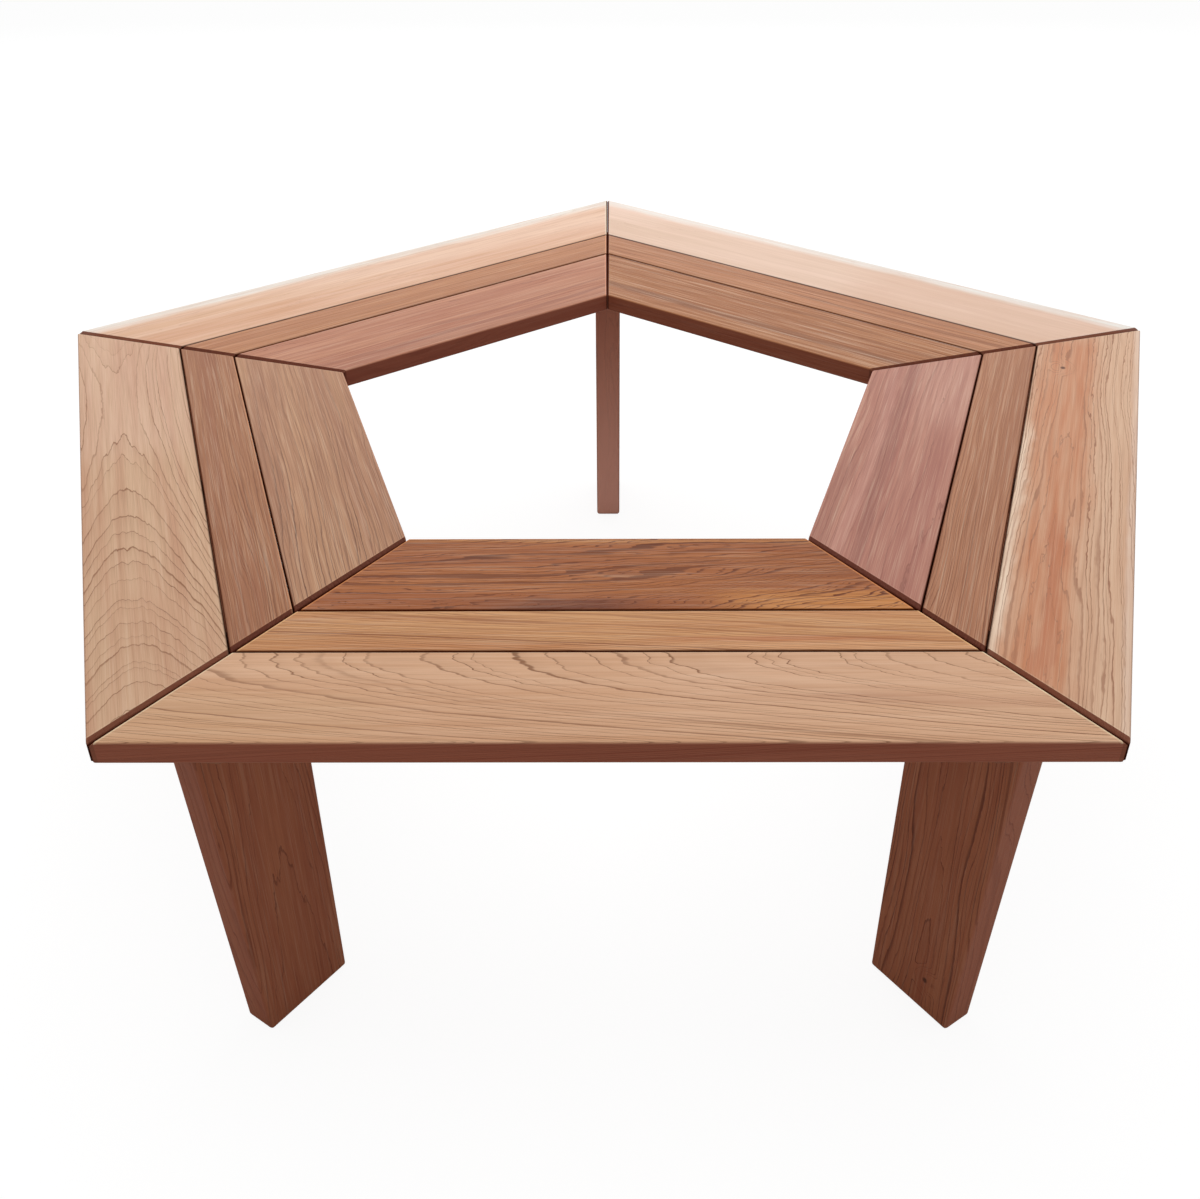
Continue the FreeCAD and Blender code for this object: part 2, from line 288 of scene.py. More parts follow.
class Recipe:
    """A material's node tree while it is being put together."""

    def __init__(self, name: str) -> None:
        """Start a material with a Principled shader.

        Args:
            name: Its name.
        """
        self.material = bpy.data.materials.new(name)
        self.material.use_nodes = True
        self.tree = self.material.node_tree
        self.shader = self.tree.nodes["Principled BSDF"]

    def node(self, kind: str, feeds: Optional[dict[Union[int, str], Feed]] = None,
             **settings: object) -> bpy.types.Node:
        """Add a node.

        Args:
            kind: The node's type, less the "ShaderNode" that all of them begin with.
            feeds: What its inputs are fed, by their names or numbers.
            settings: Its properties.

        Returns:
            The node.
        """
        made = self.tree.nodes.new(f"ShaderNode{kind}")
        for name, value in settings.items():
            setattr(made, name, value)
        for place, value in (feeds or {}).items():
            feed(made.inputs[place], value)
        return made

    def attribute(self, name: str, output: str = "Fac") -> bpy.types.NodeSocket:
        """Read one of the mesh's attributes, as a number or under another output's name."""
        return self.node("Attribute", attribute_name=name).outputs[output]

    def object_place(self) -> bpy.types.NodeSocket:
        """Read the place on the piece."""
        return self.node("TexCoord").outputs["Object"]

    def parts(self, vector: bpy.types.NodeSocket) -> tuple[Field, Field, Field]:
        """Split a vector into its three parts."""
        return tuple(Field(socket) for socket in self.node("SeparateXYZ", {0: vector}).outputs)

    def turned(self, vector: bpy.types.NodeSocket, angle: float) -> bpy.types.NodeSocket:
        """Turn a vector about the tree's axis by an angle in degrees."""
        feeds = {"Vector": vector, "Angle": math.radians(angle)}
        return self.node("VectorRotate", feeds, rotation_type="Z_AXIS").outputs[0]

    def in_millimetres(self, vector: bpy.types.NodeSocket) -> bpy.types.NodeSocket:
        """Turn a place in metres into millimetres."""
        return self.node("VectorMath", {0: vector, "Scale": 1 / MILLIMETRE}, operation="SCALE").outputs[0]

    def stretched(self, vector: bpy.types.NodeSocket, lengths: Vector, shift: Vector) -> bpy.types.NodeSocket:
        """Divide a place by the lengths of one unit of a pattern, and add the pattern's shift in its own units."""
        feeds = {0: vector, 1: tuple(1 / length for length in lengths), 2: shift}
        return self.node("VectorMath", feeds, operation="MULTIPLY_ADD").outputs[0]

    def blended(self, share: Number, first: Paint, second: Paint, mode: str = "MIX") -> bpy.types.NodeSocket:
        """Mix two colours.

        Args:
            share: How much of the second, from 0 to 1.
            first: The first colour, or a socket that gives it.
            second: The second colour, or a socket that gives it.
            mode: How the node blends them.

        Returns:
            The mixed colour's socket.
        """
        mix = self.node("Mix", {"Factor": share}, data_type="RGBA", blend_type=mode)
        colour_inputs = [socket for socket in mix.inputs if socket.type == "RGBA"]
        for socket, value in zip(colour_inputs, (first, second)):
            feed(socket, value)
        return next(socket for socket in mix.outputs if socket.type == "RGBA")

    def finish(self, feeds: dict[str, Feed], height: Field, depth: float) -> bpy.types.Material:
        """Join the last fields to the shader.

        Args:
            feeds: What the shader's inputs are fed.
            height: The relief, from 0 to 1.
            depth: How deep the relief is, in metres.

        Returns:
            The material.
        """
        bump = self.node("Bump", {"Height": height, "Distance": depth})
        for name, value in {**feeds, "Normal": bump.outputs["Normal"]}.items():
            feed(self.shader.inputs[name], value)
        return self.material


# Wood


class Waves(Enum):
    """The noises of wood: the length and width of one unit in millimetres, and the detail."""

    STRAY = (300, 60, 1)  # the whole figure
    JAG = (130, 9, 1)  # single ring lines
    TREMBLE = (14, 3.2, 1)
    PATCH = (150, 30, 1)  # where the ring lines are strong
    TINT = (260, 12, 2)
    CLOUD = (600, 45, 1)  # the tint's broad changes
    STREAK_WANDER = (190, 60, 1)
    STREAK_RIPPLE = (34, 14, 2)
    STREAK_BREAK = (120, 7, 1)
    FINE_FIBRE = (60, 0.7, 2)
    SOFT_FIBRE = (150, 3.4, 2)
    HAIR = (75, 1.1, 1)
    HAIR_PATCH = (200, 25, 1)
    # where the painted highlight on the edges is stronger or weaker
    HIGHLIGHT_PATCH = (40, 8, 1)
    SAW = (6, 2, 1)


@dataclass(frozen=True)
class Rings:
    """How a board was sawn from its log, in millimetres.

    The rings are cylinders round the log's heart. The heart lies below the face, and it rises or falls along the
    board, so the rings come out on the face as arches.
    """

    spacing: float = 3.4  # from one ring to the next
    heart_across: float = 0.0  # from the board's middle towards its outer edge
    heart_depth: float = 70.0  # below the face
    lean: float = 0.0  # how far the heart moves across for each length along
    climb: float = 0.05  # how far the rings rise through the face for each length along
    bend: float = 0.0  # growth of the climb along the board
    line: float = 1.3  # width of a ring's dark line on the face
    late: float = 0.06  # least share of a ring that is dark
    latest: float = 0.5  # greatest share
    wander: float = 9.0  # how far the whole figure strays
    jag: float = 1.0  # how far single lines step, in the rings' own direction
    tremble: float = 0.3  # share of the jag that comes in short steps
    pace: float = 2.4  # how many rings the lines shift by as good and poor years come and go
    pace_rate: float = 0.45  # how often they change, for each ring
    faintest: float = 0.5  # strength of the faintest year's line
    shade: float = 0.25  # strength of the soft shade that leads up to a line
    patchy: float = 0.45  # share of the lines' strength that comes and goes along the board


@dataclass(frozen=True)
class Streak:
    """A band of another colour along a board, in millimetres from its middle."""

    colour: Colour
    across: float  # towards the outer edge
    width: float
    start: float = -600.0
    end: float = 600.0
    strength: float = 0.6
    wander: float = 10.0
    ripple: float = 1.5  # how far its edges wave
    fade: float = 90.0  # length over which an end fades


@dataclass(frozen=True)
class Knot:
    """A small round knot, in millimetres from the board's middle."""

    along: float
    across: float
    size: float = 4.0
    reach: float = 5.0  # how far it pushes the rings aside, in its own sizes
    push: float = 2.5  # by how many rings
    colour: Colour = (74, 38, 24)


class WoodRecipe(Recipe):
    """A wood's recipe, with each point's place in the board and the kind of face that it lies on as fields.

    along, across and up are in millimetres. side, end_grain, worn and seam are shares
    from 0 to 1. side carries the sides' own colour and painted shade, worn a painted highlight on the
    edges, and seam painted shade in the gaps.
    """

    def __init__(self, name: str, seed: int, half_length: float, angle: Optional[float]) -> None:
        """Read a new piece's attributes, or work the same out of a node's own coordinates and normals.

        Args:
            name: The material's name.
            seed: Makes the noises this board's own.
            half_length: Half the board's length in millimetres.
            angle: For a node of the frame, the direction that its grain runs in round the tree, in degrees.
        """
        super().__init__(name)
        self.draw = np.random.default_rng(seed)
        self.half_length = half_length
        if angle is None:
            place = self.attribute("grain", "Vector")
            self.side, self.end_grain, self.worn, self.seam = (
                Field(self.attribute(kind)) for kind in ("side", "end_grain", "worn", "seam"))
        else:
            place = self.turned(self.object_place(), -angle)
            facing = self.parts(self.turned(self.node("TexCoord").outputs["Normal"], -angle))
            self.end_grain = facing[0].distance_from(0.0).step(0.6, 0.8)
            self.side = self.end_grain * 0.5
            self.worn = self.seam = 0.0
        self.place = self.in_millimetres(place)
        self.along, self.across, self.up = self.parts(self.place)

    def noise(self, waves: Waves) -> Field:
        """Make a noise that is stretched along the grain.

        Args:
            waves: Its size and detail.

        Returns:
            The noise about 0, in units of its own spread.
        """
        length, width, detail = waves.value
        place = self.stretched(self.place, (length, width, width), tuple(self.draw.uniform(-50, 50, 3).tolist()))
        node = self.node("TexNoise", {"Vector": place, "Scale": 1.0, "Detail": detail})
        return (Field(node.outputs["Fac"]) - 0.5) * 4.0

    def by_ring(self, kind: str, count: Field, output: str, feeds: dict[str, float]) -> Field:
        """Make a noise of this kind, from 0 to 1, that runs along the count of the rings."""
        feeds = {"W": count + self.draw.uniform(0, 90), **feeds}
        return Field(self.node(kind, feeds, noise_dimensions="1D").outputs[output])

    def nearness(self, knot: Knot, reach: float) -> Field:
        """Find how near a point is to a knot: a smooth step of the distance from its middle.

        Args:
            knot: The knot.
            reach: The distance at which it ends.

        Returns:
            1 at the knot, and 0 past its reach.
        """
        run = (self.along - knot.along) * 0.8
        rise = self.across - knot.across
        return (run * run + rise * rise).root().step(reach, 0.35 * reach)


@dataclass(frozen=True)
class Wood:
    """One board's timber and finish."""

    light: Colour
    dark: Colour
    tint: Colour
    # edge and side colour the sideways faces and arrises: partly the sawn faces' own redder colour, partly painted
    # shade where the light from above falls less
    edge: Colour = (168, 98, 72)
    side: Colour = (150, 80, 60)
    end: Colour = (132, 78, 54)
    # painted shade: the dark colour put in the gaps between boards and at the mitres' tips
    seam: Colour = (58, 13, 2)
    fibre_light: Colour = (255, 232, 205)
    painted_foot_light: Optional[Colour] = None  # painted light: a paler colour of the inner edge towards the foot
    painted_foot_light_across: float = -30.0  # how far across the painted light is full, in millimetres
    rings: Rings = Rings()
    streaks: tuple[Streak, ...] = ()
    knots: tuple[Knot, ...] = ()
    contrast: float = 0.7  # strength of the ring lines
    contrast_slope: float = 0.0  # its growth from the middle to the end of the board
    tint_share: float = 0.5
    fibre: float = 0.6  # strength of the fine fibres
    hair: float = 0.5  # strength of the thin dark hairlines
    roughness: float = 0.55
    sheen: float = 0.2  # specular level of the finish
    relief: float = 0.0006  # depth of the grain's relief, in metres

    @property
    def pale(self) -> Colour:
        """The colour of an edge's painted highlight: the light colour's channels times 1.15, plus 24."""
        return tuple(min(255, round(1.15 * channel + 24)) for channel in self.light)

    def material(self, name: str, seed: int, half_length: float, angle: Optional[float] = None) -> bpy.types.Material:
        """Paint the board: rings, streaks and fibres, then its sides, painted highlights, ends and painted gap shade.

        Args:
            name: The material's name.
            seed: Makes the board's noise its own.
            half_length: Half the board's length in millimetres.
            angle: For a node of the frame, the direction that its grain runs in round the tree, in degrees.

        Returns:
            A material that reads a new piece's attributes "grain", "side", "end_grain", "worn" and
            "seam", or a node's own coordinates and normals.
        """
        recipe = WoodRecipe(name, seed, half_length, angle)
        line = self._ring_lines(recipe)
        colour = recipe.blended(line.at_most(1.0), self._streaked(recipe), self.dark)

        fine, soft = recipe.noise(Waves.FINE_FIBRE), recipe.noise(Waves.SOFT_FIBRE)
        hairs = recipe.noise(Waves.HAIR).step(0.55, 1.1)
        hairs = hairs * (recipe.noise(Waves.HAIR_PATCH).step(-0.6, 0.8) * 0.8 + 0.2)
        fibres = (fine * 0.34 + soft * 0.26) * self.fibre - hairs * (0.5 * self.hair)
        colour = recipe.blended((fibres * 0.9).clamped(), colour, self.fibre_light)
        colour = recipe.blended((fibres * -1.5).clamped(), colour, self.dark)
        for knot in self.knots:
            colour = recipe.blended(recipe.nearness(knot, knot.size) * 0.85, colour, knot.colour)

        colour = self._edged(recipe, colour)
        # in the painted gap shade the finish is also rougher and loses its specular, so the gaps show no reflection
        gloss = (fine * 0.05 + line * 0.1 + recipe.seam * 0.45 + self.roughness).clamped()
        relief = line * -0.35 + fine * 0.10 + soft * 0.08 + 0.5
        sheen = (1 - recipe.seam) * self.sheen
        feeds = {"Base Color": colour, "Roughness": gloss, "Specular IOR Level": sheen}
        return recipe.finish(feeds, relief, self.relief)

    def _ring_lines(self, recipe: WoodRecipe) -> Field:
        """Draw the rings' dark lines.

        A point's ring is its distance from the heart, plus the climb and the jag, over the spacing. The part after
        the decimal point is how far that year had gone. The line takes the last share of the year, which is its
        width on the face times the rate at which the rings pass through the face, over the spacing.

        Args:
            recipe: The board's recipe.

        Returns:
            The lines' strength.
        """
        rings, along = self.rings, recipe.along
        sideways = recipe.across - rings.heart_across - along * rings.lean
        sideways = sideways + recipe.noise(Waves.STRAY) * rings.wander
        depth = recipe.up + rings.heart_depth
        radius = (sideways * sideways + depth * depth).root()
        distance = radius + along * rings.climb + along * along * rings.bend
        distance = distance + recipe.noise(Waves.JAG) * rings.jag
        distance = distance + recipe.noise(Waves.TREMBLE) * (rings.jag * rings.tremble)
        for knot in self.knots:
            distance = distance + recipe.nearness(knot, knot.reach * knot.size) * (knot.push * rings.spacing)
        count = distance / rings.spacing
        pace = recipe.by_ring("TexNoise", count, "Fac", {"Scale": rings.pace_rate, "Detail": 1.0})
        count = count + (pace - 0.5) * rings.pace
        year = recipe.by_ring("TexWhiteNoise", count.whole(), "Value", {})
        strength = year * (1 - rings.faintest) + rings.faintest

        ripening = count.fraction()
        across_rings = sideways / radius
        along_rings = along * (2 * rings.bend) + rings.climb
        crowding = (across_rings * across_rings + along_rings * along_rings).root() / rings.spacing
        share = (crowding * rings.line).at_least(rings.late).at_most(rings.latest)
        ripe = (ripening - 1.0) / share + 1.0
        line = ripe.step(0.0, 0.6) * ripe.step(1.0, 0.85) + ripening * ripening * rings.shade
        patches = recipe.noise(Waves.PATCH).step(-1.6, 1.2) * rings.patchy + (1 - rings.patchy)
        contrast = (along * (self.contrast_slope / recipe.half_length) + self.contrast).clamped()
        return line * strength * contrast * patches

    def _streaked(self, recipe: WoodRecipe) -> bpy.types.NodeSocket:
        """Lay the light colour, its tint in long soft patches, and the streaks.

        Args:
            recipe: The board's recipe.

        Returns:
            The colour.
        """
        tinting = recipe.noise(Waves.TINT) * 0.6 + recipe.noise(Waves.CLOUD) * 0.5 + 0.5
        colour = recipe.blended(tinting.clamped() * (2 * self.tint_share), self.light, self.tint)
        for streak in self.streaks:
            wandering = recipe.across + recipe.noise(Waves.STREAK_WANDER) * streak.wander
            wandering = wandering + recipe.noise(Waves.STREAK_RIPPLE) * streak.ripple
            inside = wandering.distance_from(streak.across).step(0.5 * streak.width, 0.18 * streak.width)
            begun = recipe.along.step(streak.start, streak.start + streak.fade)
            unended = recipe.along.step(streak.end, streak.end - streak.fade)
            unbroken = (recipe.noise(Waves.STREAK_BREAK) * 0.25 + 0.75).clamped()
            cover = inside * begun * unended * unbroken * streak.strength
            colour = recipe.blended(cover, colour, streak.colour)
        return colour

    def _edged(self, recipe: WoodRecipe, colour: bpy.types.NodeSocket) -> bpy.types.NodeSocket:
        """Colour the sides in their own colour and painted shade, the painted light towards the foot, the painted
        highlights on the edges, the ends and the painted shade in the gaps, in that order.

        Args:
            recipe: The board's recipe.
            colour: The face's colour.

        Returns:
            The colour.
        """
        # sideways faces: their own redder colour mixed with painted shade
        sawn = recipe.blended(0.55, recipe.blended(0.75, colour, self.edge, "MULTIPLY"), self.side)
        colour = recipe.blended(recipe.side * 0.95, colour, sawn)
        # painted light: the inner edge turns paler towards the foot
        if self.painted_foot_light:
            painted_foot_lighting = recipe.along.step(recipe.half_length, -recipe.half_length) * 0.75 + 0.15
            painted_foot_lighting = painted_foot_lighting * recipe.side.step(0.3, 0.9) * recipe.across.step(0, self.painted_foot_light_across)
            colour = recipe.blended(painted_foot_lighting, colour, self.painted_foot_light)
        # painted highlight: paler arrises and a paler strip beside a chamfer, where the light from behind catches the
        # edges
        painted_highlight_strip = recipe.worn * (recipe.noise(Waves.HIGHLIGHT_PATCH) * 0.15 + 0.85).clamped()
        colour = recipe.blended(painted_highlight_strip, colour, self.pale)
        ends = recipe.end_grain * (recipe.noise(Waves.SAW) * 0.15 + 0.55).clamped()
        colour = recipe.blended(ends, colour, self.end)
        # painted shade: the gaps between boards and the mitres' tips turn dark
        return recipe.blended(recipe.seam * 0.92, colour, self.seam)


# Surfaces


def tube_faces(rows: int, sides: int, ring: bool = False, flipped: bool = False) -> list[list[int]]:
    """Join the rows of points round a tube with four-sided faces, and close its two ends.

    Args:
        rows: How many rows there are.
        sides: How many points each row has.
        ring: Whether the last row joins the first, in place of the ends.
        flipped: Whether the faces turn the other way.

    Returns:
        The faces, as point numbers counted row by row.
    """
    here = np.arange(rows if ring else rows - 1)[:, None] * sides
    after = (here + sides) % (rows * sides)
    step = np.arange(sides)[None]
    turn = np.roll(step, -1, axis=1)
    faces = np.stack([here + step, after + step, after + turn, here + turn], axis=-1).reshape(-1, 4).tolist()
    if not ring:
        faces += [step[0].tolist(), ((rows - 1) * sides + step[0, ::-1]).tolist()]
    return [face[::-1] for face in faces] if flipped else faces


def finished_mesh(name: str, points: np.ndarray, faces: list[list[int]], crease: float,
                  attributes: dict[str, np.ndarray]) -> bpy.types.Mesh:
    """Make a piece's mesh.

    Args:
        name: The node that the piece stands for.
        points: Its points (n, 3), in place.
        faces: The point numbers of each face.
        crease: Edges that turn by more than this stay sharp, in degrees.
        attributes: What its finish reads, a number or a vector for each point, by name.

    Returns:
        The mesh.
    """
    mesh = bpy.data.meshes.new(f"{name}_finished")
    mesh.from_pydata(points.tolist(), [], faces)
    mesh.shade_smooth()
    mesh.set_sharp_from_angle(angle=math.radians(crease))
    for label, values in attributes.items():
        kind, part = ("FLOAT", "value") if values.ndim == 1 else ("FLOAT_VECTOR", "vector")
        mesh.attributes.new(label, kind, "POINT").data.foreach_set(part, values.ravel())
    mesh.validate()
    return mesh


@dataclass(frozen=True)
class Plank:
    """A sawn plank with rounded arrises, in a frame of across, along and up, in metres."""

    name: str
    low: Vector
    high: Vector
    arris: float = 0.002
    chamfers: tuple[float, float] = (0.0, 0.0)  # bevel across the top at the low and the high end
    gap_shade_sides: tuple[float, float] = (0.0, 0.0)  # 1 for a side that meets a neighbour, where painted shade darkens the gap
    painted_highlight_sides: tuple[float, float] = (0.0, 0.0)  # strength of the painted highlight on the arris at the low and the high side
    # strength of the painted highlight beside the chamfer at the low and the high end
    painted_highlight_ends: tuple[float, float] = (0.0, 0.0)
    painted_highlight_strip: float = 0.0024  # width of the painted highlight strip beside a chamfer
    fold: float = 0.00005  # from one side of a sudden change of colour to the other
    crease: float = 30.0  # edges that turn by more than this stay sharp, in degrees
    runs: int = 24
    rounding: int = 4

    @property
    def reach(self) -> np.ndarray:
        """Where the two chamfers begin along the plank."""
        return np.array([self.low[1] + self.chamfers[0], self.high[1] - self.chamfers[1]])

    def _ring(self) -> tuple[np.ndarray, np.ndarray]:
        """Lay out the plank's cross-section.

        Returns:
            The centres of its corner arcs and the directions outward from them, both (points, 2), in across and
            up: each arc's direction turns through a quarter circle, and the centre stays at the arc's corner.
        """
        turn = np.linspace(0, math.pi / 2, self.rounding + 1)
        corners = np.array([(1, 1), (0, 1), (0, 0), (1, 0)])
        angles = np.concatenate([turn + quarter * math.pi / 2 for quarter in range(len(corners))])
        picks = np.repeat(corners, self.rounding + 1, axis=0)
        low = np.array([self.low[0], self.low[2]]) + self.arris
        high = np.array([self.high[0], self.high[2]]) - self.arris
        return low + picks * (high - low), np.stack([np.cos(angles), np.sin(angles)], axis=1)

    def _stations(self) -> tuple[np.ndarray, np.ndarray]:
        """Lay out the cross-sections along the plank.

        The radius and the run follow a quarter circle at each end: radius = arris * cos(a), run = end + arris *
        sin(a). A chamfer adds its own edge, and both sides of the painted highlight strip beside it.

        Returns:
            Each cross-section's run along the plank, and the radius of its corner arcs.
        """
        turn = np.linspace(0, math.pi / 2, self.rounding + 1)
        near, far = self.low[1] + self.arris, self.high[1] - self.arris
        runs = np.concatenate([
            near - self.arris * np.sin(turn[::-1]),
            np.linspace(near, far, self.runs + 1)[1:-1],
            far + self.arris * np.sin(turn),
        ])
        radii = self.arris * np.concatenate([np.cos(turn[::-1]), np.ones(self.runs - 1), np.cos(turn)])
        if any(self.chamfers):
            inward = np.array([1.0, -1.0])
            extra = np.concatenate([self.reach + width * inward for width in (0.0, self.fold, self.painted_highlight_strip)])
            order = np.argsort(np.concatenate([runs, extra]))
            runs = np.concatenate([runs, extra])[order]
            radii = np.concatenate([radii, np.full(len(extra), self.arris)])[order]
        return runs, radii

    def _kinds(self, directions: np.ndarray, runs: np.ndarray, radii: np.ndarray) -> dict[str, np.ndarray]:
        """Work out the kind of face that each point lies on, as shares from 0 to 1.

        With up the upward part of a point's direction and across its sideways part:
        end_grain = 1 - (radius / arris)^2, and 1 on a chamfer;
        side = 1 - |up|^2.5, or the end_grain where that is more: the sides' own colour and painted shade;
        worn = 2 * |across| * up * the side's share on an upper arris, and the end's share beside a
        chamfer: a painted highlight;
        seam = (0.985 - up) / 0.2, at most 1 and less by the painted highlight, above the middle of a side
        that meets a neighbour, 1 at a mitre's tip and 0.4 next to it: painted shade in the gaps.

        Args:
            directions: The directions outward round a cross-section.
            runs: Each cross-section's run along the plank.
            radii: The radius of its corner arcs.

        Returns:
            The shares by name, point by point.
        """
        count, size = len(runs), len(directions)
        across, up = directions.T
        chamfered = any(self.chamfers)
        bevelled = (runs <= self.reach[0]) | (runs >= self.reach[1])
        leaning = np.repeat(np.maximum(1 - (radii / self.arris) ** 2, bevelled * chamfered), size)
        side = np.maximum(1 - np.abs(np.tile(up, count)) ** 2.5, leaning)

        # painted highlight on the upper arrises and beside the chamfers, on the sides where the light from behind
        # catches them
        arris_highlight = 2 * np.abs(across * up) * (up > 0) * np.where(across < 0, *self.painted_highlight_sides)
        shares = [share * (np.abs(runs - end) < 0.5 * self.painted_highlight_strip) for end, share in zip(self.reach, self.painted_highlight_ends)]
        end_highlight = np.max(shares, axis=0) * ~bevelled
        worn = np.maximum(np.tile(arris_highlight, count), np.repeat(end_highlight, size) * (np.tile(up, count) > 0.3))

        # painted shade: the gap beside a neighbouring board and the mitres' tips darken in colour, less where the
        # arris has its painted highlight
        upper = up >= -1e-6
        gap = np.where(across < 0, *self.gap_shade_sides) * np.clip((0.985 - up) / 0.2, 0, 1) * upper
        tips = np.zeros((count, size))
        tips[[0, 1, 2, -3, -2, -1]] = chamfered * upper
        tips[[3, -4]] = 0.4 * chamfered * upper
        seam = np.maximum(np.tile(gap * (1 - arris_highlight), count), tips.ravel())
        return {"side": side, "end_grain": leaning, "worn": worn, "seam": seam}

    def mesh(self, bend: Callable[[np.ndarray], np.ndarray], axes: np.ndarray) -> bpy.types.Mesh:
        """Carry the cross-section along the plank.

        A point is its arc's centre plus the arc's radius in its direction, and a chamfer holds it down by as much
        as it lies beyond the chamfer's edge. Then the bend puts the box into its true outline, and the axes put it
        in its place.

        Args:
            bend: Takes points (n, 3) in across, along and up, and returns them in the plank's true outline.
            axes: Rows with the directions of across, along and up.

        Returns:
            The closed mesh with the attributes "grain", "side", "end_grain", "worn" and "seam".
        """
        centres, directions = self._ring()
        runs, radii = self._stations()
        count, size = len(runs), len(centres)
        section = centres[None] + radii[:, None, None] * directions[None]
        beyond = np.maximum(self.reach[0] - runs, runs - self.reach[1]).clip(0)
        heights = np.minimum(section[..., 1], self.high[2] - beyond[:, None])
        box = np.stack([section[..., 0], np.repeat(runs[:, None], size, axis=1), heights], axis=-1)
        points = bend(box.reshape(-1, 3))
        middle = (np.array(self.low) + np.array(self.high)) / 2
        grain = np.stack([points[:, 1] - middle[1], points[:, 0] - middle[0], points[:, 2] - self.high[2]], axis=1)
        faces = tube_faces(count, size, flipped=np.linalg.det(axes) < 0)
        kinds = self._kinds(directions, runs, radii)
        return finished_mesh(self.name, points @ axes, faces, self.crease, {"grain": grain, **kinds})


def stand(mesh: bpy.types.Mesh, material: bpy.types.Material, nodes: Iterable[str]) -> bpy.types.Object:
    """Put a finished piece in the scene.

    Args:
        mesh: Its mesh, in place.
        material: Its finish.
        nodes: The nodes of the frame that it stands for.

    Returns:
        The piece.
    """
    piece = bpy.data.objects.new(mesh.name, mesh)
    bpy.context.scene.collection.objects.link(piece)
    mesh.materials.append(material)
    weighted = piece.modifiers.new("flat faces stay flat", "WEIGHTED_NORMAL")
    weighted.keep_sharp = True
    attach(piece, BODY)
    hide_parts(*nodes)
    return piece


def dress(node: bpy.types.Object, material: bpy.types.Material) -> None:
    """Give a node of the frame, which keeps its own shape, its finish in every material slot."""
    for slot in node.material_slots:
        slot.material = material


# The bench


